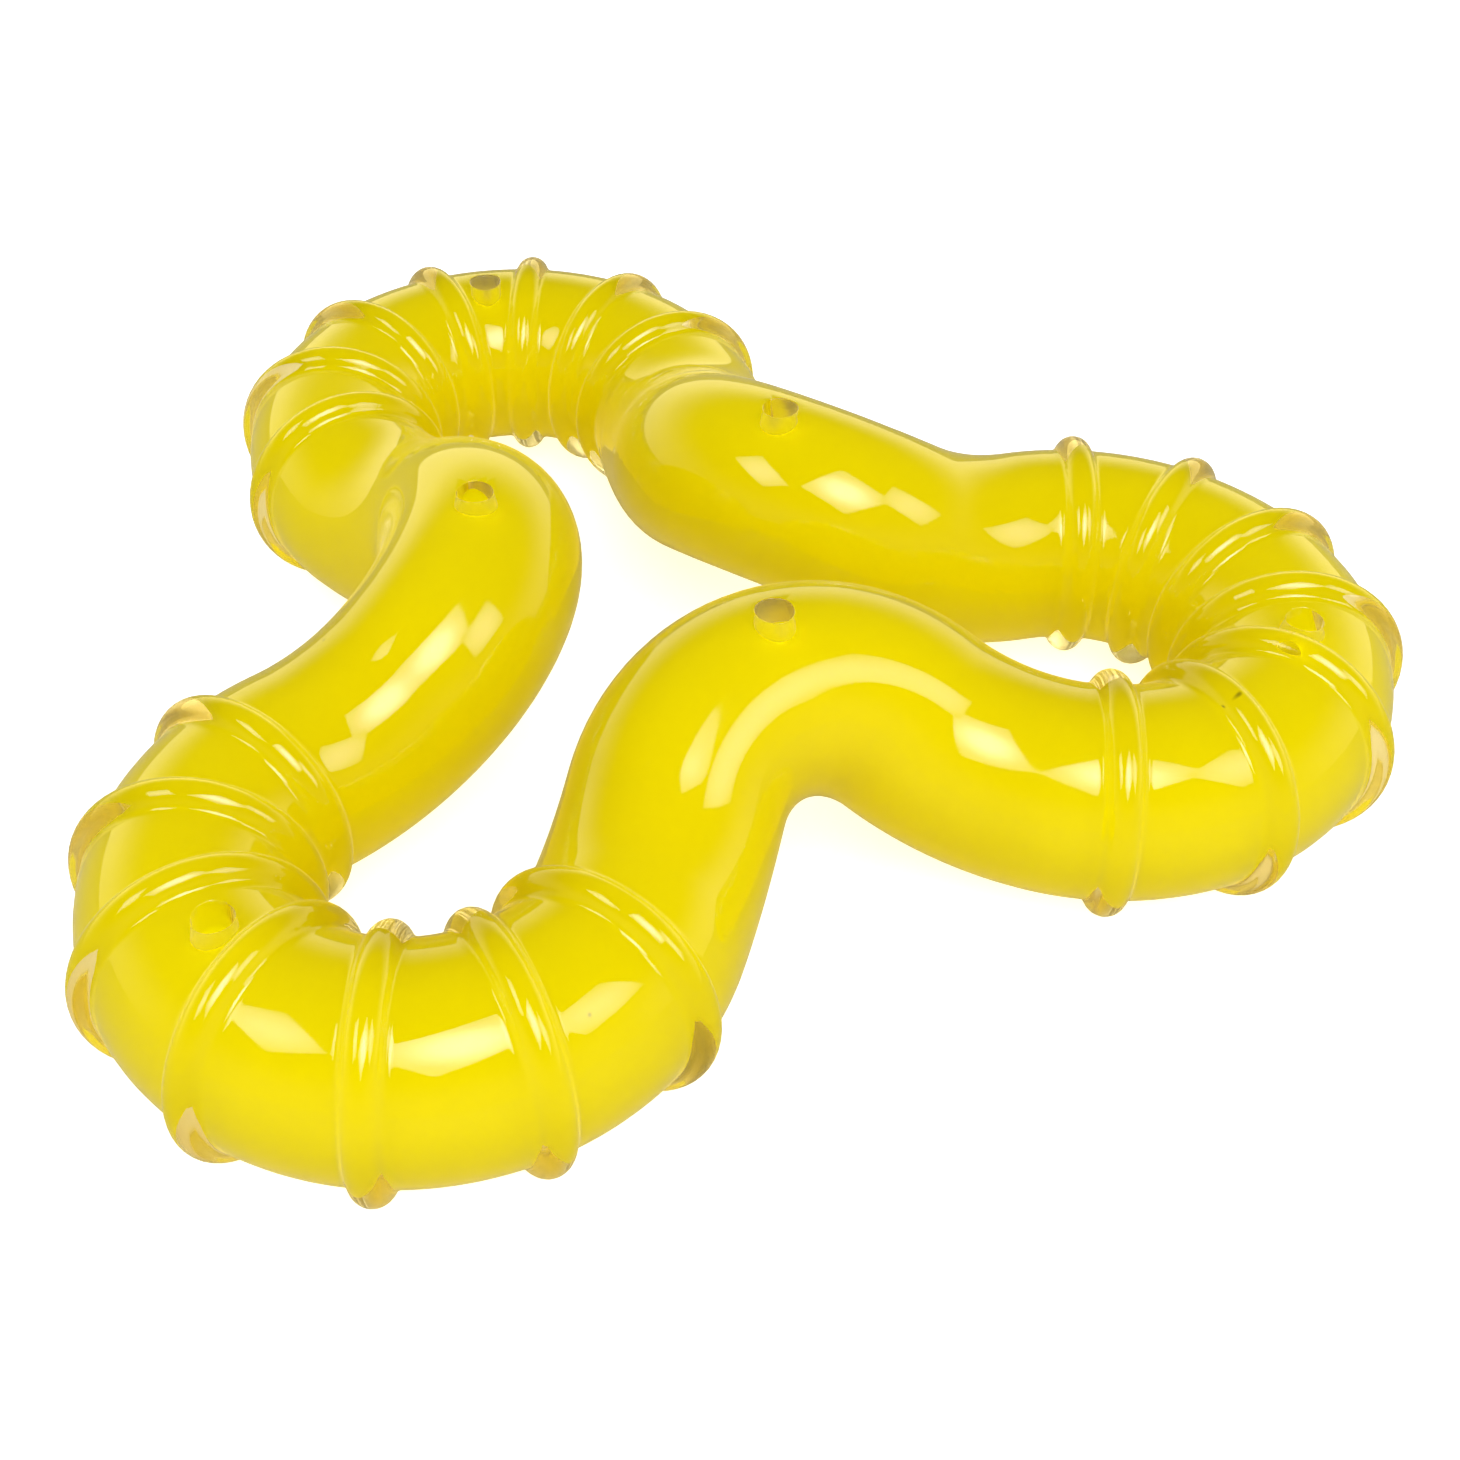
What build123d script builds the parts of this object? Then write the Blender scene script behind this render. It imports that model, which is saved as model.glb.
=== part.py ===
from build123d import *
from math import acos, cos, degrees, radians, sin, sqrt
import os

# A closed soft ring for biting, tugging and carrying, 180 mm across.
# An opaque core bar runs all the way round, and a clear jacket with a wall of
# even thickness is moulded over it. The ring has three lobes, which lie flat
# and carry the grip ribs, and three smooth arms, which bend inwards between
# the lobes and arch up off the table.
#
# Frame: Z is the threefold axis, pointing up. The origin is where that axis
# meets the table. The first lobe points along +X.

# Driving dimensions, in millimetres and degrees.
tube_diameter = 27.0        # outside of the clear jacket, between the ribs
jacket_wall = 4.0           # clear wall over the core
lobe_bend_radius = 26.4     # centreline radius of a lobe
lobe_sweep = 214.0          # how far a lobe turns, in the table's plane
climb_bend_radius = 34.4    # upward bend from the end of a lobe to an arm
climb_angle = 31.5          # slope that the arm starts with
arm_bend_radius = 20.2      # centreline radius of an arm
rib_count = 7               # ribs on a lobe
rib_pitch = 30.0            # angle from rib to rib, about the lobe's centre
rib_height = 2.0            # how far a rib stands out of the jacket
rib_crest_radius = 2.3      # round crest of a rib
pin_hole_diameter = 4.8     # left by the mould's locating pins
pin_hole_shift = 15.0       # from a lobe's middle rib, about the lobe's centre

lobe_count = 3
pin_cut_clearance = 1.0     # how far a hole's cutter runs past the jacket

# What follows from them.
tube_radius = tube_diameter / 2
core_radius = tube_radius - jacket_wall
rib_reach = tube_radius + rib_height
lobe_height = rib_reach     # the lobes' centreline plane: the ribs touch the table
third_turn = 360.0 / lobe_count
up = Vector(0, 0, 1)


def lobe_point(angle, centre_x):
    """A point on a lobe's centreline, at an angle from its tip."""
    t = radians(angle)
    x = centre_x + lobe_bend_radius * cos(t)
    return Vector(x, lobe_bend_radius * sin(t), lobe_height)


def turned(start, heading, towards, radius, angle):
    """Follow an arc from start: the point and the heading after the angle."""
    t = radians(angle)
    point = start + heading * (radius * sin(t)) + towards * (radius * (1 - cos(t)))
    return point, heading * cos(t) + towards * sin(t)


def mirrored(point):
    """The same point on the other side of the first lobe's mirror plane."""
    return Vector(point.X, -point.Y, point.Z)


def third_of_centreline():
    """A third of the centreline: the points of its lobe, climb and arm arcs."""
    half = lobe_sweep / 2
    end = lobe_point(half, 0.0)
    heading = Vector(-sin(radians(half)), cos(radians(half)), 0)
    climb_mid, _ = turned(end, heading, up, climb_bend_radius, climb_angle / 2)
    climb_end, slope = turned(end, heading, up, climb_bend_radius, climb_angle)

    # At its middle an arm runs level, square to the line from the ring's centre.
    bisector = radians(third_turn / 2)
    level = Vector(-sin(bisector), cos(bisector), 0)
    arm_half_sweep = degrees(acos(slope.dot(level)))
    inwards = (level - slope * slope.dot(level)).normalized()
    arm_top, _ = turned(climb_end, slope, inwards, arm_bend_radius, arm_half_sweep)

    # The lobe's centre stands where the arm's middle falls on its mirror plane.
    centre_x = arm_top.Y * cos(bisector) / sin(bisector) - arm_top.X
    out = Vector(centre_x, 0, 0)
    climb = [end + out, climb_mid + out, climb_end + out]
    far_end = mirrored(climb_end + out).rotate(Axis.Z, third_turn)
    arm = [climb_end + out, arm_top + out, far_end]
    lobe = [lobe_point(-half, centre_x), lobe_point(0, centre_x), lobe_point(half, centre_x)]
    return lobe, climb, arm, centre_x


def centreline_wire():
    """The whole closed centreline: round arcs, each tangent to the next."""
    lobe, climb, arm, _ = third_of_centreline()
    # An arm is one arc, so that no seam runs through its pin holes.
    arcs = []
    for points in (lobe, climb, arm):
        arcs.append(ThreePointArc(*points))
    arcs.append(ThreePointArc(*[mirrored(p) for p in climb]))
    edges = []
    for i in range(lobe_count):
        for arc in arcs:
            edges.append(arc.rotate(Axis.Z, i * third_turn))
    return edges


def ring_bar(radius):
    """A round bar along the whole centreline."""
    bar = None
    for edge in centreline_wire():
        section = Plane(origin=edge @ 0, z_dir=edge % 0) * Circle(radius)
        stretch = sweep(section, path=edge)
        bar = stretch if bar is None else bar + stretch
    return bar


def grip_ribs():
    """Round-crested rings about the lobes, square to the centreline."""
    _, _, _, centre_x = third_of_centreline()
    ring_radius = rib_reach - rib_crest_radius
    ribs = []
    for i in range(lobe_count):
        for k in range(rib_count):
            angle = (k - (rib_count - 1) / 2) * rib_pitch
            t = radians(angle)
            square = Plane(origin=lobe_point(angle, centre_x), z_dir=(-sin(t), cos(t), 0))
            rib = square * Torus(ring_radius, rib_crest_radius)
            ribs.append(rib.rotate(Axis.Z, i * third_turn))
    return ribs


def pin_hole_centres():
    """Centreline points where the mould's pins held the core, above and below."""
    _, _, arm, centre_x = third_of_centreline()
    arm_top = arm[1]
    return [lobe_point(-pin_hole_shift, centre_x), arm_top]


def pin_holes():
    """Blind holes down through the jacket to the core, from above and from below."""
    depth = tube_radius + pin_cut_clearance
    holes = []
    for i in range(lobe_count):
        for centre in pin_hole_centres():
            for side in (1, -1):
                middle = centre + up * (side * depth / 2)
                hole = Pos(middle) * Cylinder(pin_hole_diameter / 2, depth)
                holes.append(hole.rotate(Axis.Z, i * third_turn))
    return holes


def make_core():
    """The opaque bar, round in section and closed on itself."""
    return ring_bar(core_radius)


def make_jacket(core):
    """The clear cover with its ribs, less the core and the pins' holes."""
    jacket = ring_bar(tube_radius) + grip_ribs()
    return jacket - core - pin_holes()


core = make_core()
jacket = make_jacket(core)

os.makedirs("parts", exist_ok=True)
export_step(core, "parts/core.step")
export_step(jacket, "parts/jacket.step")

size = jacket.bounding_box().size
_, _, arm_points, lobe_centre_x = third_of_centreline()
print("overall size", round(size.X, 1), round(size.Y, 1), round(size.Z, 1))
print("lobe centre", round(lobe_centre_x, 2), "arm middle", arm_points[1])
print("solids: core", len(core.solids()), "jacket", len(jacket.solids()))
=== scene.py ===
# %% [markdown]
# # A ribbed tug ring, cover and core
#
# The object is one closed ring of soft plastic. An opaque yellow bar runs all
# the way round, and a clear jacket is moulded over it. This lesson loads the
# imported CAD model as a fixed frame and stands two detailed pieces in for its
# two nodes, so every size below is the size the CAD was built with.

# %% Load the frame
import bmesh
import bpy
import numpy as np
from math import acos, cos, radians, sin, sqrt, tau
from mathutils import Matrix, Vector


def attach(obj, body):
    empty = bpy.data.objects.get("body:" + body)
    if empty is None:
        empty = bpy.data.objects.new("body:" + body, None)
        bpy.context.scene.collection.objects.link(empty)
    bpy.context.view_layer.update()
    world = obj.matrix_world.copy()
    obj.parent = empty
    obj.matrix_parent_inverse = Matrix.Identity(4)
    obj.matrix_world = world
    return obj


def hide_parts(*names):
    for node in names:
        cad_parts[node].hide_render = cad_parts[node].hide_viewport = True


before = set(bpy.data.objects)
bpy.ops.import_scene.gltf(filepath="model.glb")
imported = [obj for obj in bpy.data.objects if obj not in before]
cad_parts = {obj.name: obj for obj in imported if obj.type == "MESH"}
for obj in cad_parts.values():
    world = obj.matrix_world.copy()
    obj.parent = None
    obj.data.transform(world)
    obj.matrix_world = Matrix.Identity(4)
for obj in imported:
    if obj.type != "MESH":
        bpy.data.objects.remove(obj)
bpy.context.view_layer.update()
print("CAD nodes", sorted(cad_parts))

# %% [markdown]
# ## The ring's own dimensions
#
# A moulder's drawing of this ring needs only a few numbers: the bar's
# diameter, the radii of its bends, and the size and spacing of the ribs. They
# are kept in millimetres, as on the drawing, and turned to metres once.

# %% Driving dimensions
MM = 0.001
tube_radius = 13.5 * MM          # outside of the jacket between its ribs
core_radius = 9.5 * MM           # the jacket's wall is the 4 mm between the two
lobe_bend_radius = 26.4 * MM     # of the centreline, like the other bends
lobe_half_sweep = radians(107)   # from a lobe's tip to its end
climb_bend_radius = 34.4 * MM
climb_angle = radians(31.5)      # slope that an arm starts with
arm_bend_radius = 20.2 * MM
rib_count = 7                    # on each lobe
rib_pitch = radians(30)          # about the lobe's centre
rib_height = 2.0 * MM
rib_crest_radius = 2.3 * MM
pin_hole_radius = 2.4 * MM
pin_hole_shift = radians(15)     # from the middle rib to the lobe's pin hole
lobe_plane = tube_radius + rib_height
third_turn = tau / 3
up = Vector((0, 0, 1))
print("lobe plane stands", round(lobe_plane / MM, 2), "mm above the table")

# %% [markdown]
# ## The line that the bar follows
#
# Each third of the ring is a flat round lobe, a bend that climbs off the
# table, and half an arm that turns inwards. All of them are round arcs that
# run into each other without a corner, so one small function that walks along
# an arc is enough. The rings of the mesh stand close together by a rib, where
# the surface curves most, and further apart on the smooth arms.

# %% Walk along the arcs
rib_zone = radians(6.5)          # the rings stand close together this near to a rib
fine_step, coarse_step = radians(0.5), radians(1.0)
climb_steps, arm_steps = 14, 15


def walk(start, heading, towards, radius, turn):
    """The point and the heading after following a round arc through a turn."""
    point = start + heading * (radius * sin(turn)) + towards * (radius * (1 - cos(turn)))
    return point, heading * cos(turn) + towards * sin(turn)


def lobe_stations():
    """Angles from a lobe's tip to its end, close together near the ribs."""
    angles, angle = [], 0.0
    last_rib = rib_pitch * (rib_count // 2)
    while angle < lobe_half_sweep - fine_step / 2:           # no sliver before the end
        angles.append(angle)
        off_rib = abs((angle + rib_pitch / 2) % rib_pitch - rib_pitch / 2)
        near = off_rib < rib_zone and angle < last_rib + rib_zone
        angle += fine_step if near else coarse_step
    return angles + [lobe_half_sweep]


def sixth_of_ring():
    """Points from a lobe's tip to the top of the next arm, with the lobe's centre on +X."""
    points = [Vector((lobe_bend_radius * cos(a), lobe_bend_radius * sin(a), lobe_plane))
              for a in lobe_stations()]
    end = points[-1]
    heading = Vector((-sin(lobe_half_sweep), cos(lobe_half_sweep), 0))
    for i in range(1, climb_steps + 1):
        point, slope = walk(end, heading, up, climb_bend_radius, climb_angle * i / climb_steps)
        points.append(point)
    level = Vector((-sin(third_turn / 2), cos(third_turn / 2), 0))
    arm_half_sweep = acos(slope.dot(level))
    inwards = (level - slope * slope.dot(level)).normalized()
    foot = points[-1]
    for i in range(1, arm_steps + 1):
        point, _ = walk(foot, slope, inwards, arm_bend_radius, arm_half_sweep * i / arm_steps)
        points.append(point)
    top = points[-1]
    centre_x = top.y / np.tan(third_turn / 2) - top.x
    return [p + Vector((centre_x, 0, 0)) for p in points], centre_x


half_lobe_and_arm, lobe_centre_x = sixth_of_ring()
mirror_half = [Vector((p.x, -p.y, p.z)) for p in reversed(half_lobe_and_arm[1:])]
one_third = mirror_half + half_lobe_and_arm[:-1]
centreline = [Matrix.Rotation(i * third_turn, 3, "Z") @ p for i in range(3) for p in one_third]
arm_top = half_lobe_and_arm[-1]
print(len(centreline), "rings, lobe centre", round(lobe_centre_x / MM, 2), "mm out")
print("arm top at", [round(v / MM, 2) for v in arm_top])

# %% Make the centreline a closed loop of edges
def loop_object(name, points):
    """A mesh of edges only, closed on itself, for Geometry Nodes to start from."""
    mesh = bpy.data.meshes.new(name)
    edges = [(i, (i + 1) % len(points)) for i in range(len(points))]
    mesh.from_pydata([tuple(p) for p in points], edges, [])
    obj = bpy.data.objects.new(name, mesh)
    bpy.context.scene.collection.objects.link(obj)
    return obj


steps = zip(centreline, centreline[1:] + centreline[:1])
print("centreline is", round(sum((a - b).length for a, b in steps) / MM, 1), "mm long")

# %% [markdown]
# ## Colours and a way to add nodes
#
# Blender's shaders count in linear light, and a colour given as hex is sRGB,
# so one function turns a hex value into the linear one. One more function
# adds any node, with its settings and its links, and the trees for shapes and
# for finishes are both built with it. It finds an input by its name or by its
# number. A Mix node has several inputs of one name, so it always goes by
# number there: 0 is the factor, 2 and 3 are plain values, 6 and 7 are colours,
# and output 2 is the mixed colour.

# %% Two helpers
def srgb(hex_colour):
    """A linear RGBA colour from an sRGB hex string."""
    parts = [int(hex_colour[i:i + 2], 16) / 255 for i in (1, 3, 5)]
    return tuple(c / 12.92 if c <= 0.04045 else ((c + 0.055) / 1.055) ** 2.4 for c in parts) + (1.0,)


def add_node(tree, kind, feeds=None, **settings):
    """A new node. Feeds gives each input a number, a node or one of a node's outputs."""
    node = tree.nodes.new(kind)
    for name, value in settings.items():
        setattr(node, name, value)
    for key, value in (feeds or {}).items():
        if isinstance(value, bpy.types.Node):
            value = value.outputs[0]
        if isinstance(value, bpy.types.NodeSocket):
            tree.links.new(value, node.inputs[key])
        else:
            node.inputs[key].default_value = value
    return node


print("yellow is", [round(c, 3) for c in srgb("#E8D800")], "in linear light")

# %% [markdown]
# ## Finish of the core: opaque yellow moulded thermoplastic rubber
#
# The core is a soft rubber coloured right through, moulded first. The clear
# jacket melts onto it, so there is no air between them and the core has no
# shine of its own. What the eye gets is a flat, very even yellow, a little
# uneven where the pigment has flowed, with a few dark specks of dirt caught
# when the jacket was moulded over it.

# %% Core material
pigment_flow = 30 * MM
speck_spacing = 11 * MM
skin_grain = 4 * MM


def core_finish():
    mat = bpy.data.materials.new("yellow_tpe_moulded_opaque")
    mat.use_nodes = True
    tree = mat.node_tree
    tree.nodes.clear()
    where = add_node(tree, "ShaderNodeTexCoord").outputs["Object"]
    flow = add_node(tree, "ShaderNodeTexNoise", {
        "Vector": where, "Scale": 1 / pigment_flow, "Detail": 2.0, "Roughness": 0.45})
    mottled = add_node(tree, "ShaderNodeMix", {
        0: flow, 6: srgb("#EADD00"), 7: srgb("#E1D400")}, data_type="RGBA")
    cells = add_node(tree, "ShaderNodeTexVoronoi", {
        "Vector": where, "Scale": 1 / speck_spacing}, feature="F1")
    speck = add_node(tree, "ShaderNodeMapRange", {
        "Value": cells.outputs["Distance"], "From Min": 0.012, "From Max": 0.035,
        "To Min": 0.7, "To Max": 0.0})
    dirty = add_node(tree, "ShaderNodeMix", {
        0: speck, 6: mottled.outputs[2], 7: srgb("#6A5C14")}, data_type="RGBA")
    skin = add_node(tree, "ShaderNodeTexNoise", {
        "Vector": where, "Scale": 1 / skin_grain, "Detail": 2.0})
    rough = add_node(tree, "ShaderNodeMapRange", {
        "Value": skin, "From Min": 0.3, "From Max": 0.7, "To Min": 0.5, "To Max": 0.62})
    bump = add_node(tree, "ShaderNodeBump", {
        "Strength": 0.15, "Distance": 0.05 * MM, "Height": skin})
    shader = add_node(tree, "ShaderNodeBsdfPrincipled", {
        "Base Color": dirty.outputs[2], "Roughness": rough, "Normal": bump,
        "IOR": 1.5, "Specular IOR Level": 0.0})
    add_node(tree, "ShaderNodeOutputMaterial", {"Surface": shader})
    return mat


core_rubber = core_finish()
print("made", core_rubber.name)

# %% [markdown]
# ## Finish of the jacket: clear thermoplastic rubber
#
# The jacket is water-clear when thin and straw-coloured through its depth,
# which shows where a rib or an edge is seen against the table. It has the
# gloss of a polished mould, softened by handling. Cycles finds no lamp
# through real glass, so rays that go to a lamp meet a plain clear shader
# instead, and the core below is lit without noise. The rubber is also a little
# milky. It blurs and stains what shows through a rib, and light that has been
# thrown about inside a rib comes out of it as a pale haze.

# %% Jacket material
orange_peel = 9 * MM
handling_marks = 14 * MM
bounces_before_haze = 2.5


def jacket_finish():
    mat = bpy.data.materials.new("clear_tpe_polished_mould")
    mat.use_nodes = True
    tree = mat.node_tree
    tree.nodes.clear()
    where = add_node(tree, "ShaderNodeTexCoord").outputs["Object"]
    peel = add_node(tree, "ShaderNodeTexNoise", {
        "Vector": where, "Scale": 1 / orange_peel, "Detail": 1.0, "Roughness": 0.4})
    bump = add_node(tree, "ShaderNodeBump", {
        "Strength": 0.25, "Distance": 0.12 * MM, "Height": peel})
    marks = add_node(tree, "ShaderNodeTexNoise", {
        "Vector": where, "Scale": 1 / handling_marks, "Detail": 3.0, "Roughness": 0.6})
    gloss = add_node(tree, "ShaderNodeMapRange", {
        "Value": marks, "From Min": 0.35, "From Max": 0.7, "To Min": 0.035, "To Max": 0.085})
    # Light that leaves the wall is blurred and stained by the haze in its depth.
    from_inside = add_node(tree, "ShaderNodeNewGeometry").outputs["Backfacing"]
    path = add_node(tree, "ShaderNodeLightPath").outputs
    seen_through = add_node(tree, "ShaderNodeMath", {
        0: from_inside, 1: path["Diffuse Depth"]}, operation="SUBTRACT", use_clamp=True)
    stain = add_node(tree, "ShaderNodeMix", {
        0: seen_through, 6: srgb("#FFFBEA"), 7: srgb("#B0A36C")}, data_type="RGBA")
    rough = add_node(tree, "ShaderNodeMix", {0: from_inside, 2: gloss, 3: 0.32}, data_type="FLOAT")
    shader = add_node(tree, "ShaderNodeBsdfPrincipled", {
        "Base Color": stain.outputs[2], "Roughness": rough, "Normal": bump,
        "IOR": 1.49, "Transmission Weight": 1.0,
        "Sheen Weight": 0.45, "Sheen Roughness": 0.30, "Sheen Tint": srgb("#E6D79A")})
    # Light that has been thrown about inside a rib comes out as a straw-coloured haze.
    thrown_about = add_node(tree, "ShaderNodeMath", {
        0: path["Ray Depth"], 1: bounces_before_haze}, operation="GREATER_THAN")
    straw = add_node(tree, "ShaderNodeBsdfTransparent", {"Color": srgb("#F8F3DE")})
    hazy = add_node(tree, "ShaderNodeMixShader", {0: thrown_about, 1: shader, 2: straw})
    clear = add_node(tree, "ShaderNodeBsdfTransparent", {"Color": srgb("#FBF8EA")})
    both = add_node(tree, "ShaderNodeMixShader", {0: path["Is Shadow Ray"], 1: hazy, 2: clear})
    depth = add_node(tree, "ShaderNodeVolumeAbsorption", {
        "Color": srgb("#F2E6A0"), "Density": 24.0})
    add_node(tree, "ShaderNodeOutputMaterial", {"Surface": both, "Volume": depth})
    return mat


clear_rubber = jacket_finish()
print("made", clear_rubber.name)

# %% [markdown]
# ## The core bar
#
# A round bar of constant thickness along a known line is the plainest thing
# that Geometry Nodes can make: the loop of edges becomes a curve, and a
# circle is drawn along it. Its tree keeps the radius and the number of sides
# as named inputs.

# %% A tree for the core bar
def new_tree(name, inputs):
    """A Geometry Nodes tree with named inputs, and its input node."""
    tree = bpy.data.node_groups.new(name, "GeometryNodeTree")
    tree.interface.new_socket("Centreline", in_out="INPUT", socket_type="NodeSocketGeometry")
    tree.interface.new_socket("Piece", in_out="OUTPUT", socket_type="NodeSocketGeometry")
    for label, kind in inputs:
        tree.interface.new_socket(label, in_out="INPUT", socket_type=kind)
    return tree, add_node(tree, "NodeGroupInput")


def core_tree():
    tree, given = new_tree("core_bar_tree", [
        ("Radius", "NodeSocketFloat"), ("Sides", "NodeSocketInt"), ("Rings", "NodeSocketInt"),
        ("Material", "NodeSocketMaterial")])
    line = add_node(tree, "GeometryNodeMeshToCurve", {"Mesh": given.outputs["Centreline"]})
    upright = add_node(tree, "GeometryNodeSetCurveNormal", {"Curve": line}, mode="Z_UP")
    even = add_node(tree, "GeometryNodeResampleCurve", {
        "Curve": upright, "Count": given.outputs["Rings"]})
    round_bar = add_node(tree, "GeometryNodeCurvePrimitiveCircle", {
        "Resolution": given.outputs["Sides"], "Radius": given.outputs["Radius"]})
    bar = add_node(tree, "GeometryNodeCurveToMesh", {
        "Curve": even, "Profile Curve": round_bar})
    smooth = add_node(tree, "GeometryNodeSetShadeSmooth", {"Geometry": bar})
    real = add_node(tree, "GeometryNodeRealizeInstances", {"Geometry": smooth})
    finished = add_node(tree, "GeometryNodeSetMaterial", {
        "Geometry": real, "Material": given.outputs["Material"]})
    add_node(tree, "NodeGroupOutput", {"Piece": finished})
    return tree


def grow(name, tree, values):
    """Runs a tree on the centreline and keeps the result as a plain mesh."""
    obj = loop_object(name, centreline)
    modifier = obj.modifiers.new("grow", "NODES")
    modifier.node_group = tree
    for item in tree.interface.items_tree:
        if item.item_type == "SOCKET" and item.in_out == "INPUT" and item.name in values:
            modifier[item.identifier] = values[item.name]
    evaluated = obj.evaluated_get(bpy.context.evaluated_depsgraph_get())
    mesh = bpy.data.meshes.new_from_object(evaluated)
    obj.modifiers.clear()
    obj.data = mesh
    mesh.name = name
    mesh.materials.clear()                       # the cut leaves an empty slot behind
    mesh.materials.append(values["Material"])
    mesh.polygons.foreach_set("material_index", [0] * len(mesh.polygons))
    return obj


def report(piece):
    """Prints a piece's triangles, size and volume, which is above nought if it faces outwards."""
    bm = bmesh.new()
    bm.from_mesh(piece.data)
    volume = bm.calc_volume(signed=True)
    open_edges = sum(not e.is_manifold for e in bm.edges)
    bm.free()
    triangles = sum(len(p.vertices) - 2 for p in piece.data.polygons)
    print(piece.name, triangles, "triangles, open edges", open_edges)
    print("  volume", round(volume / MM ** 3), "mm3, size", [round(v / MM, 1) for v in piece.dimensions],
          "materials", [m.name for m in piece.data.materials])


core_bar = grow("core_bar", core_tree(), {
    "Radius": core_radius, "Sides": 56, "Rings": 560, "Material": core_rubber})
report(core_bar)

# %% [markdown]
# ## Pin holes
#
# When the jacket was moulded, pins held the core in the middle of the mould,
# and each left a blind hole down to the core: one on each lobe and one on the
# top of each arm, with its partner below. They could be left out or painted
# on, but light in a clear wall shows every edge, so they are cut. A cutter is
# a round pin that flares at the surface, because a moulded rim is never
# sharp. The jacket is what a ball sweeps along the centreline, so the height
# of its surface over any point is the highest of those balls there.

# %% Cutters for the pin holes
line_points = np.array([tuple(p) for p in centreline])
lip = 0.22 * MM                  # radius of the rounded rim
flare_angles = np.radians([0, 16, 32, 48, 64, 78])
past_surface = 1.2 * MM
pins_apart = 1.0 * MM            # from the centreline to the end of each pin


def surface_height(x, y, side):
    """Where the jacket's surface is above (side 1) or below (side -1) a point on the table."""
    across = (line_points[:, 0] - x) ** 2 + (line_points[:, 1] - y) ** 2
    near = across < tube_radius ** 2
    rise = np.sqrt(tube_radius ** 2 - across[near])
    heights = line_points[near, 2] + side * rise
    return float(heights.max() if side > 0 else heights.min())


def add_cutter(bm, centre, side, around=40):
    """One pin with a flared rim, from the centreline out past the surface."""
    rings = []
    widest = 1 - cos(flare_angles[-1])
    # Each ring's flare, and how far it stands out of the surface: None is the pin's end.
    flare = [(0.0, None)]
    flare += [(1 - cos(a), -lip * (1 - sin(a))) for a in flare_angles]
    flare += [(widest, past_surface)]
    for spread, proud in flare:
        ring = []
        for i in range(around):
            turn = tau * i / around
            radius = pin_hole_radius + lip * spread
            x, y = centre.x + radius * cos(turn), centre.y + radius * sin(turn)
            z = centre.z if proud is None else surface_height(x, y, side) + side * proud
            ring.append(bm.verts.new((x, y, z)))
        rings.append(ring)
    for low, high in zip(rings, rings[1:]):
        for i in range(around):
            j = (i + 1) % around
            bm.faces.new((low[i], low[j], high[j], high[i]))
    bm.faces.new(rings[0])
    bm.faces.new(rings[-1])


def pin_cutters():
    bm = bmesh.new()
    on_lobe = Vector((lobe_centre_x + lobe_bend_radius * cos(-pin_hole_shift),
                      lobe_bend_radius * sin(-pin_hole_shift), lobe_plane))
    for i in range(3):
        turn = Matrix.Rotation(i * third_turn, 3, "Z")
        for centre in (turn @ on_lobe, turn @ arm_top):
            for side in (1, -1):
                # The two pins of a pair stop just short of each other.
                add_cutter(bm, centre + up * (side * pins_apart), side)
    bmesh.ops.recalc_face_normals(bm, faces=bm.faces)
    mesh = bpy.data.meshes.new("pin_cutters")
    bm.to_mesh(mesh)
    bm.free()
    obj = bpy.data.objects.new("pin_cutters", mesh)
    bpy.context.scene.collection.objects.link(obj)
    return obj


cutters = pin_cutters()
print("12 pin holes", round(2 * pin_hole_radius / MM, 1), "mm across, down to the core")

# %% [markdown]
# ## The clear jacket
#
# The jacket is the same bar, wider, with seven round-crested ribs on each
# lobe. The ribs could be rings laid over a bar, but moulded ribs run into the
# surface with a soft fillet, so here the surface itself is lifted. For every
# point the tree turns its place into the nearest lobe's own, finds its angle
# about that lobe's centre, and measures how far it is from the nearest rib's
# plane. A round crest of that distance, with a hollow fillet at its foot, is
# how far the point is lifted.

# %% A tree for the jacket
sharp_fold = radians(50)         # an edge that folds more than this is shaded sharp


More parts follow.
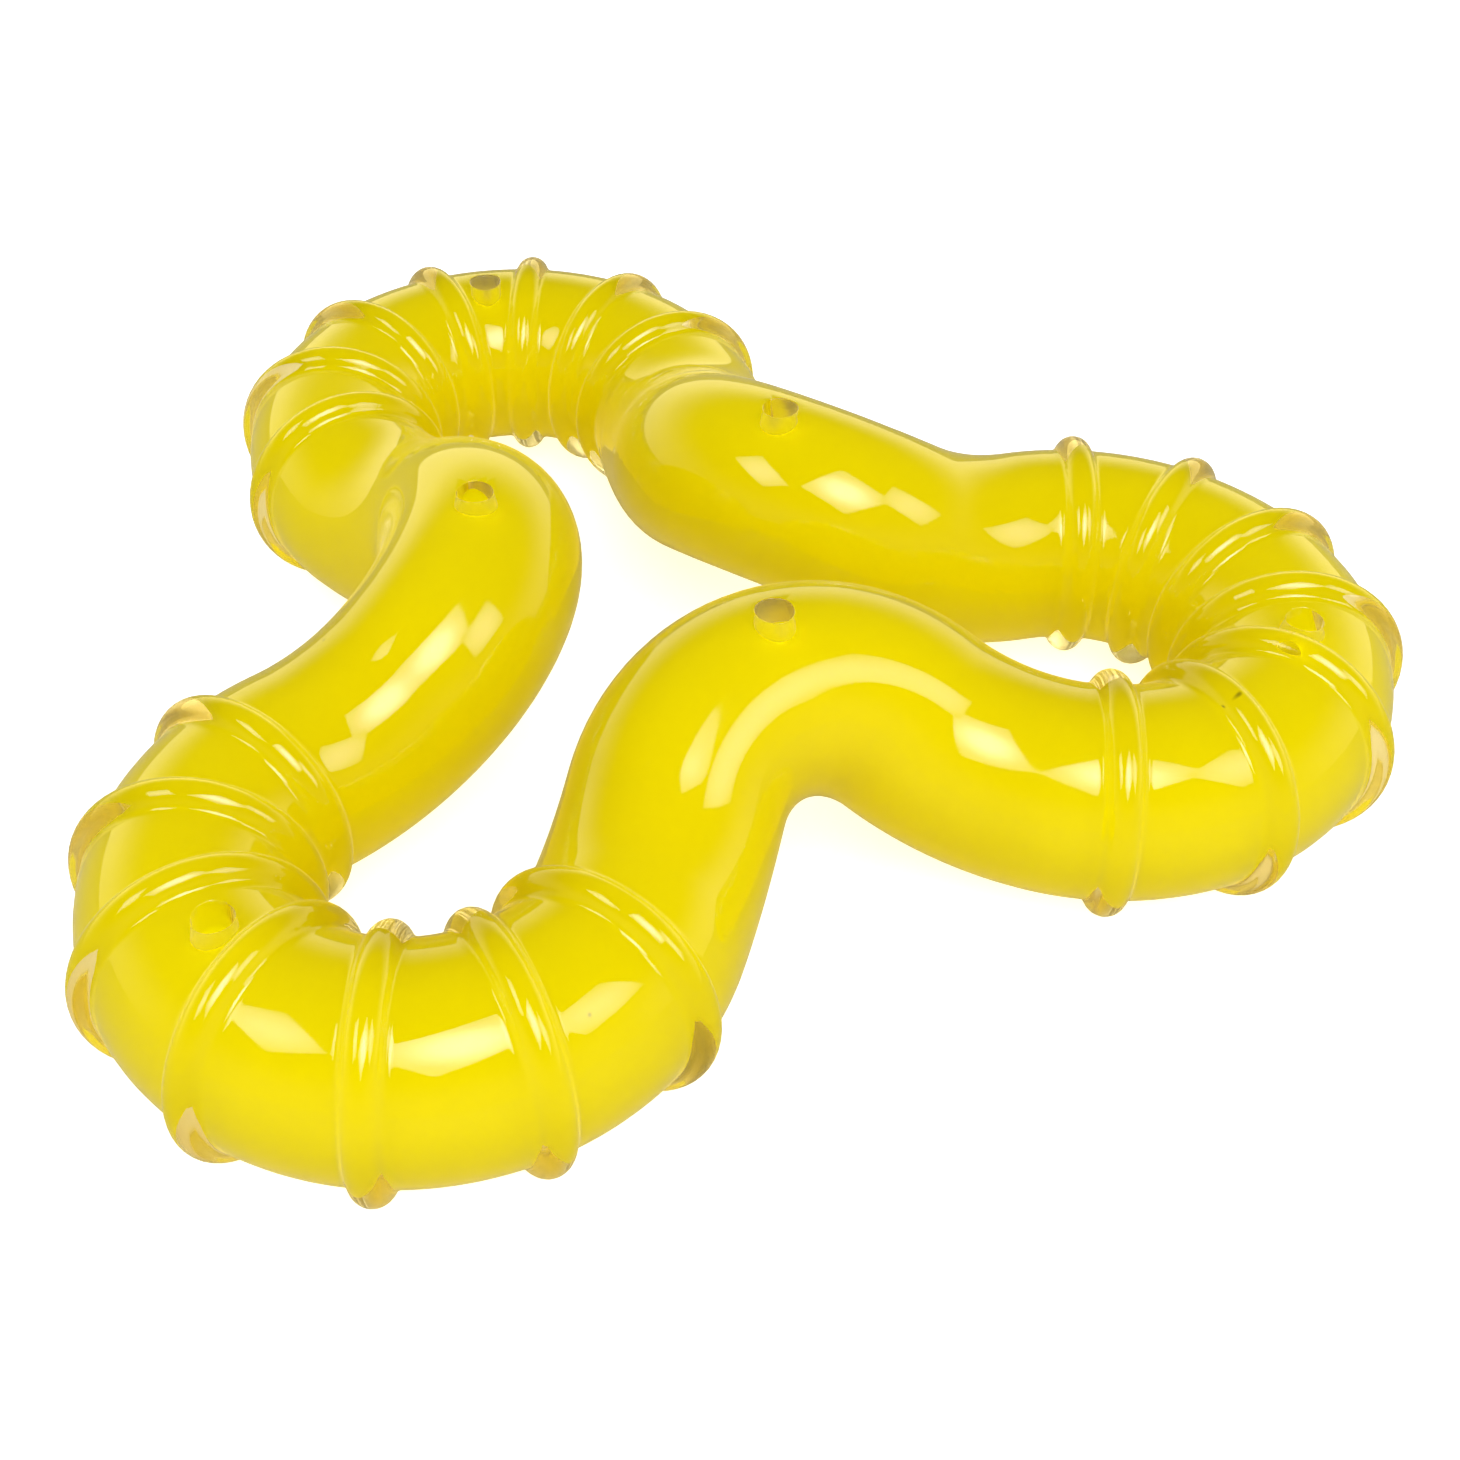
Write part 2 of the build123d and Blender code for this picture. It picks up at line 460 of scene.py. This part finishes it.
def jacket_tree():
    tree, given = new_tree("jacket_tree", [
        ("Outer Radius", "NodeSocketFloat"), ("Inner Radius", "NodeSocketFloat"),
        ("Sides", "NodeSocketInt"), ("Inner Sides", "NodeSocketInt"), ("Inner Rings", "NodeSocketInt"),
        ("Lobe Centre", "NodeSocketFloat"), ("Rib Pitch", "NodeSocketFloat"),
        ("Ribs Each Side", "NodeSocketFloat"), ("Rib Height", "NodeSocketFloat"),
        ("Crest Radius", "NodeSocketFloat"), ("Fillet", "NodeSocketFloat"),
        ("Crest Edge", "NodeSocketFloat"), ("Rib Foot", "NodeSocketFloat"),
        ("Pin Cutters", "NodeSocketObject"), ("Material", "NodeSocketMaterial")])
    get = given.outputs
    line = add_node(tree, "GeometryNodeMeshToCurve", {"Mesh": get["Centreline"]})
    upright = add_node(tree, "GeometryNodeSetCurveNormal", {"Curve": line}, mode="Z_UP")

    # The smooth outside.
    outer_ring = add_node(tree, "GeometryNodeCurvePrimitiveCircle", {
        "Resolution": get["Sides"], "Radius": get["Outer Radius"]})
    outside = add_node(tree, "GeometryNodeCurveToMesh", {
        "Curve": upright, "Profile Curve": outer_ring})

    # Every point's place as if its lobe were the first one.
    place = add_node(tree, "GeometryNodeInputPosition")
    xyz = add_node(tree, "ShaderNodeSeparateXYZ", {0: place})
    azimuth = add_node(tree, "ShaderNodeMath", {
        0: xyz.outputs["Y"], 1: xyz.outputs["X"]}, operation="ARCTAN2")
    thirds = add_node(tree, "ShaderNodeMath", {0: azimuth, 1: third_turn}, operation="DIVIDE")
    whole = add_node(tree, "ShaderNodeMath", {0: thirds}, operation="ROUND")
    back = add_node(tree, "ShaderNodeMath", {0: whole, 1: -third_turn}, operation="MULTIPLY")
    turned = add_node(tree, "ShaderNodeVectorRotate", {
        "Vector": place, "Angle": back}, rotation_type="Z_AXIS")
    centre = add_node(tree, "ShaderNodeCombineXYZ", {"X": get["Lobe Centre"]})
    local = add_node(tree, "ShaderNodeVectorMath", {0: turned, 1: centre}, operation="SUBTRACT")
    flat = add_node(tree, "ShaderNodeVectorMath", {0: local, 1: (1, 1, 0)}, operation="MULTIPLY")
    reach = add_node(tree, "ShaderNodeVectorMath", {0: flat}, operation="LENGTH")
    xy = add_node(tree, "ShaderNodeSeparateXYZ", {0: flat})
    angle = add_node(tree, "ShaderNodeMath", {
        0: xy.outputs["Y"], 1: xy.outputs["X"]}, operation="ARCTAN2")

    # How far the point is from the nearest rib's plane.
    pitches = add_node(tree, "ShaderNodeMath", {
        0: angle, 1: get["Rib Pitch"]}, operation="DIVIDE")
    nearest = add_node(tree, "ShaderNodeMath", {0: pitches}, operation="ROUND")
    last = add_node(tree, "ShaderNodeMath", {
        0: nearest, 1: get["Ribs Each Side"]}, operation="MINIMUM")
    first = add_node(tree, "ShaderNodeMath", {
        0: get["Ribs Each Side"], 1: -1.0}, operation="MULTIPLY")
    rib = add_node(tree, "ShaderNodeMath", {0: last, 1: first}, operation="MAXIMUM")
    rib_angle = add_node(tree, "ShaderNodeMath", {
        0: rib, 1: get["Rib Pitch"]}, operation="MULTIPLY")
    off = add_node(tree, "ShaderNodeMath", {0: angle, 1: rib_angle}, operation="SUBTRACT")
    sine = add_node(tree, "ShaderNodeMath", {0: off}, operation="SINE")
    distance = add_node(tree, "ShaderNodeMath", {
        0: sine, 1: reach.outputs["Value"]}, operation="MULTIPLY")

    # A round crest of that distance, where it is over the rib's middle.
    across = add_node(tree, "ShaderNodeMath", {0: distance}, operation="ABSOLUTE")
    across_2 = add_node(tree, "ShaderNodeMath", {0: across, 1: across}, operation="MULTIPLY")
    crest_2 = add_node(tree, "ShaderNodeMath", {
        0: get["Crest Radius"], 1: get["Crest Radius"]}, operation="MULTIPLY")
    left = add_node(tree, "ShaderNodeMath", {0: crest_2, 1: across_2}, operation="SUBTRACT")
    some = add_node(tree, "ShaderNodeMath", {0: left, 1: 0.0}, operation="MAXIMUM")
    rise = add_node(tree, "ShaderNodeMath", {0: some}, operation="SQRT")
    sink = add_node(tree, "ShaderNodeMath", {
        0: get["Rib Height"], 1: get["Crest Radius"]}, operation="SUBTRACT")
    crest = add_node(tree, "ShaderNodeMath", {0: rise, 1: sink}, operation="ADD")

    # A hollow round fillet from the crest's edge to the rib's foot, and nothing past it.
    short = add_node(tree, "ShaderNodeMath", {
        0: get["Rib Foot"], 1: across}, operation="SUBTRACT")
    within = add_node(tree, "ShaderNodeMath", {0: short, 1: 0.0}, operation="MAXIMUM")
    within_2 = add_node(tree, "ShaderNodeMath", {0: within, 1: within}, operation="MULTIPLY")
    fillet_2 = add_node(tree, "ShaderNodeMath", {
        0: get["Fillet"], 1: get["Fillet"]}, operation="MULTIPLY")
    under = add_node(tree, "ShaderNodeMath", {0: fillet_2, 1: within_2}, operation="SUBTRACT")
    kept = add_node(tree, "ShaderNodeMath", {0: under, 1: 0.0}, operation="MAXIMUM")
    dip = add_node(tree, "ShaderNodeMath", {0: kept}, operation="SQRT")
    fillet = add_node(tree, "ShaderNodeMath", {0: get["Fillet"], 1: dip}, operation="SUBTRACT")
    on_crest = add_node(tree, "ShaderNodeMath", {
        0: across, 1: get["Crest Edge"]}, operation="LESS_THAN")
    height = add_node(tree, "ShaderNodeMix", {
        0: on_crest, 2: fillet, 3: crest}, data_type="FLOAT")
    outwards = add_node(tree, "GeometryNodeInputNormal")
    lift = add_node(tree, "ShaderNodeVectorMath", {0: outwards, "Scale": height}, operation="SCALE")
    ribbed = add_node(tree, "GeometryNodeSetPosition", {"Geometry": outside, "Offset": lift})

    # The wall's inside, which the core fills, faces the other way.
    even = add_node(tree, "GeometryNodeResampleCurve", {
        "Curve": upright, "Count": get["Inner Rings"]})
    inner_ring = add_node(tree, "GeometryNodeCurvePrimitiveCircle", {
        "Resolution": get["Inner Sides"], "Radius": get["Inner Radius"]})
    inside = add_node(tree, "GeometryNodeCurveToMesh", {
        "Curve": even, "Profile Curve": inner_ring})
    faced = add_node(tree, "GeometryNodeFlipFaces", {"Mesh": inside})
    wall = add_node(tree, "GeometryNodeJoinGeometry")
    tree.links.new(faced.outputs[0], wall.inputs[0])
    tree.links.new(ribbed.outputs[0], wall.inputs[0])

    # Pin holes, then smooth shading everywhere but at their feet.
    pins = add_node(tree, "GeometryNodeObjectInfo", {"Object": get["Pin Cutters"]})
    cut = add_node(tree, "GeometryNodeMeshBoolean", {
        "Mesh 1": wall}, operation="DIFFERENCE", solver="MANIFOLD")
    tree.links.new(pins.outputs["Geometry"], cut.inputs["Mesh 2"])
    smooth = add_node(tree, "GeometryNodeSetShadeSmooth", {"Geometry": cut.outputs["Mesh"]})
    fold = add_node(tree, "GeometryNodeInputMeshEdgeAngle")
    sharp = add_node(tree, "FunctionNodeCompare", {
        0: fold.outputs["Unsigned Angle"], 1: sharp_fold}, operation="GREATER_THAN")
    edged = add_node(tree, "GeometryNodeSetShadeSmooth", {
        "Geometry": smooth, "Selection": sharp, "Shade Smooth": False}, domain="EDGE")
    real = add_node(tree, "GeometryNodeRealizeInstances", {"Geometry": edged})
    finished = add_node(tree, "GeometryNodeSetMaterial", {
        "Geometry": real, "Material": get["Material"]})
    add_node(tree, "NodeGroupOutput", {"Piece": finished})
    return tree


# The fillet touches the bar and the crest, which fixes where it starts and ends.
rib_fillet = 0.9 * MM
into_core = 0.1 * MM             # the wall's inside is buried in the core, so no gap shows
sunk = rib_crest_radius - rib_height
rib_foot = sqrt((rib_crest_radius + rib_fillet) ** 2 - (rib_fillet + sunk) ** 2)
crest_edge = rib_foot * rib_crest_radius / (rib_crest_radius + rib_fillet)
print("a rib's crest is", round(2 * crest_edge / MM, 2), "mm wide")
print("its feet stand", round(2 * rib_foot / MM, 2), "mm apart")
clear_jacket = grow("clear_jacket", jacket_tree(), {
    "Outer Radius": tube_radius, "Inner Radius": core_radius - into_core,
    "Sides": 64, "Inner Sides": 32, "Inner Rings": 300,
    "Lobe Centre": lobe_centre_x, "Rib Pitch": rib_pitch, "Ribs Each Side": float(rib_count // 2),
    "Rib Height": rib_height, "Crest Radius": rib_crest_radius, "Fillet": rib_fillet,
    "Crest Edge": crest_edge, "Rib Foot": rib_foot,
    "Pin Cutters": cutters, "Material": clear_rubber})
bpy.data.objects.remove(cutters)
report(clear_jacket)

# %% Tie the pieces to the frame
for piece, node in ((core_bar, "core"), (clear_jacket, "jacket")):
    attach(piece, "root")
    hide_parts(node)
print("two pieces stand for two CAD nodes")

# %% [markdown]
# ## Floor and light
#
# A product like this is shown on a plain white table between large white
# softboxes. The table is a single wide sheet that glows a little, as paper
# lit from all sides does. One big softbox stands over the front right, two
# smaller ones beside it, and the room is white. In the gloss its wall shows
# brightest low down behind the ring, and a little warm.

# %% Which rays are mirrored
def mirrored_ray(tree):
    """One for a ray that a gloss has mirrored, nought for one that has passed through."""
    path = add_node(tree, "ShaderNodeLightPath").outputs
    return add_node(tree, "ShaderNodeMath", {0: path["Is Glossy Ray"], 1: path["Is Transmission Ray"]},
                    operation="SUBTRACT", use_clamp=True)


# %% Floor
paper_tooth = 20 * MM


def floor_sheet():
    mesh = bpy.data.meshes.new("studio_floor")
    half = 6.0                                               # metres each way
    corners = [(-half, -half, 0), (half, -half, 0), (half, half, 0), (-half, half, 0)]
    mesh.from_pydata(corners, [], [(0, 1, 2, 3)])
    mat = bpy.data.materials.new("white_paper_sweep")
    mat.use_nodes = True
    tree = mat.node_tree
    tree.nodes.clear()
    where = add_node(tree, "ShaderNodeTexCoord").outputs["Object"]
    tooth = add_node(tree, "ShaderNodeTexNoise", {
        "Vector": where, "Scale": 1 / paper_tooth, "Detail": 2.0})
    tint = add_node(tree, "ShaderNodeMix", {
        0: tooth, 6: srgb("#F6F6F6"), 7: srgb("#FAFAFA")}, data_type="RGBA")
    shader = add_node(tree, "ShaderNodeBsdfPrincipled", {
        "Base Color": tint.outputs[2], "Roughness": 0.9, "Specular IOR Level": 0.1,
        "Emission Color": srgb("#FFFFFF"), "Emission Strength": 0.55})
    # Mirrored in the glossy jacket, the sheet is darker, because the ring shades it.
    shade = add_node(tree, "ShaderNodeBsdfDiffuse", {"Color": srgb("#8F8A7D")})
    seen = add_node(tree, "ShaderNodeMixShader", {0: mirrored_ray(tree), 1: shader, 2: shade})
    add_node(tree, "ShaderNodeOutputMaterial", {"Surface": seen})
    mesh.materials.append(mat)
    obj = bpy.data.objects.new("studio_floor", mesh)
    bpy.context.scene.collection.objects.link(obj)


floor_sheet()
print("floor at z = 0")

# %% Softboxes
main_azimuth, main_elevation = radians(-75), radians(50)   # azimuth counts from +X towards +Y
forward = Vector((cos(main_elevation) * cos(main_azimuth),
                  cos(main_elevation) * sin(main_azimuth), sin(main_elevation)))
sideways = Vector((-sin(main_azimuth), cos(main_azimuth), 0))
upwards = forward.cross(sideways)


def glowing_cloth(glow):
    """The white front cloth of a softbox, brightest in its middle."""
    mat = bpy.data.materials.new("softbox_cloth")
    mat.use_nodes = True
    tree = mat.node_tree
    tree.nodes.clear()
    where = add_node(tree, "ShaderNodeTexCoord").outputs["Object"]
    from_middle = add_node(tree, "ShaderNodeVectorMath", {0: where}, operation="LENGTH")
    fade = add_node(tree, "ShaderNodeMapRange", {
        "Value": from_middle.outputs["Value"], "From Min": 0.03, "From Max": 0.36,
        "To Min": glow, "To Max": glow * 0.25}, interpolation_type="SMOOTHSTEP")
    lit = add_node(tree, "ShaderNodeEmission", {"Color": srgb("#FFFFFF"), "Strength": fade})
    clear = add_node(tree, "ShaderNodeBsdfTransparent")
    seen = add_node(tree, "ShaderNodeMixShader", {0: mirrored_ray(tree), 1: clear, 2: lit})
    add_node(tree, "ShaderNodeOutputMaterial", {"Surface": seen})
    return mat


def softbox(name, across, above, width, height, roll, power, glow):
    """A lamp a metre away, and the cloth that shows in the gloss.

    Across and above count from the main direction, and roll is in degrees."""
    place = (forward + sideways * across + upwards * above).normalized()
    towards_ring = (-place).to_track_quat("-Z", "Y").to_matrix().to_4x4()
    facing = towards_ring @ Matrix.Rotation(radians(roll), 4, "Z")
    light = bpy.data.lights.new(name, "AREA")
    light.shape = "RECTANGLE"
    light.size, light.size_y, light.energy = width, height, power
    lamp = bpy.data.objects.new(name, light)
    mesh = bpy.data.meshes.new(name + "_cloth")
    w, h = width / 2, height / 2
    mesh.from_pydata([(-w, -h, 0), (w, -h, 0), (w, h, 0), (-w, h, 0)], [], [(0, 1, 2, 3)])
    mesh.materials.append(glowing_cloth(glow))
    cloth = bpy.data.objects.new(name + "_cloth", mesh)
    for obj in (lamp, cloth):
        obj.matrix_world = Matrix.Translation(place) @ facing
        bpy.context.scene.collection.objects.link(obj)
    lamp.visible_glossy = False
    cloth.visible_camera = cloth.visible_diffuse = cloth.visible_shadow = False


softbox("key_softbox", 0.05, 0.10, 0.70, 0.52, 30, 4.6, 11.0)
softbox("right_softbox", 0.74, 0.06, 0.40, 0.45, 10, 0.8, 4.6)
softbox("left_softbox", -0.80, 0.42, 0.50, 0.30, -30, 1.0, 5.0)
print("three softboxes")

# %% Room
def white_room():
    world = bpy.data.worlds.new("white_room")
    bpy.context.scene.world = world
    world.use_nodes = True
    tree = world.node_tree
    tree.nodes.clear()
    where = add_node(tree, "ShaderNodeTexCoord").outputs["Generated"]
    xyz = add_node(tree, "ShaderNodeSeparateXYZ", {0: where})
    wall = add_node(tree, "ShaderNodeMapRange", {
        "Value": xyz.outputs["Z"], "From Min": 0.15, "From Max": 0.60,
        "To Min": 2.0, "To Max": 0.06}, interpolation_type="SMOOTHSTEP")
    behind = add_node(tree, "ShaderNodeMapRange", {
        "Value": xyz.outputs["Y"], "From Min": -0.3, "From Max": 0.6, "To Min": 0.2, "To Max": 1.0})
    mirrored = add_node(tree, "ShaderNodeMath", {0: wall, 1: behind}, operation="MULTIPLY")
    strength = add_node(tree, "ShaderNodeMix", {
        0: mirrored_ray(tree), 2: 0.74, 3: mirrored}, data_type="FLOAT")
    paint = add_node(tree, "ShaderNodeMix", {
        0: mirrored_ray(tree), 6: srgb("#FFFFFF"), 7: srgb("#F7EBB4")}, data_type="RGBA")
    background = add_node(tree, "ShaderNodeBackground", {
        "Color": paint.outputs[2], "Strength": strength})
    add_node(tree, "ShaderNodeOutputWorld", {"Surface": background})


white_room()
bpy.context.scene.view_settings.view_transform = "Standard"
print("room made")

# %% [markdown]
# ## Camera
#
# The ring is seen from close by and well above the table, almost square on,
# so near lobes look larger than the far one. The camera looks at the middle
# of the ring and its window is shifted a little, as in a crop.

# %% Camera
def set_camera(azimuth, elevation, distance, aim, lens, shift, roll):
    """A camera on a sphere round the aim point. Azimuth 0 looks along +Y."""
    a, e = radians(azimuth), radians(elevation)
    place = aim + Vector((sin(a) * cos(e), -cos(a) * cos(e), sin(e))) * distance
    data = bpy.data.cameras.new("camera")
    data.lens, data.sensor_width = lens, 36.0
    data.shift_x, data.shift_y = shift
    data.clip_start, data.clip_end = 0.01, 50
    obj = bpy.data.objects.new("camera", data)
    towards_aim = (aim - place).to_track_quat("-Z", "Y").to_matrix().to_4x4()
    obj.matrix_world = Matrix.Translation(place) @ towards_aim @ Matrix.Rotation(radians(roll), 4, "Z")
    bpy.context.scene.collection.objects.link(obj)
    bpy.context.scene.camera = obj


set_camera(2.852, 38.843, 0.2828, Vector((0, 0, lobe_plane)), 51.31, (0.0375, -0.0597), 0.429)
print("camera set")

# %% The end
bpy.context.view_layer.update()
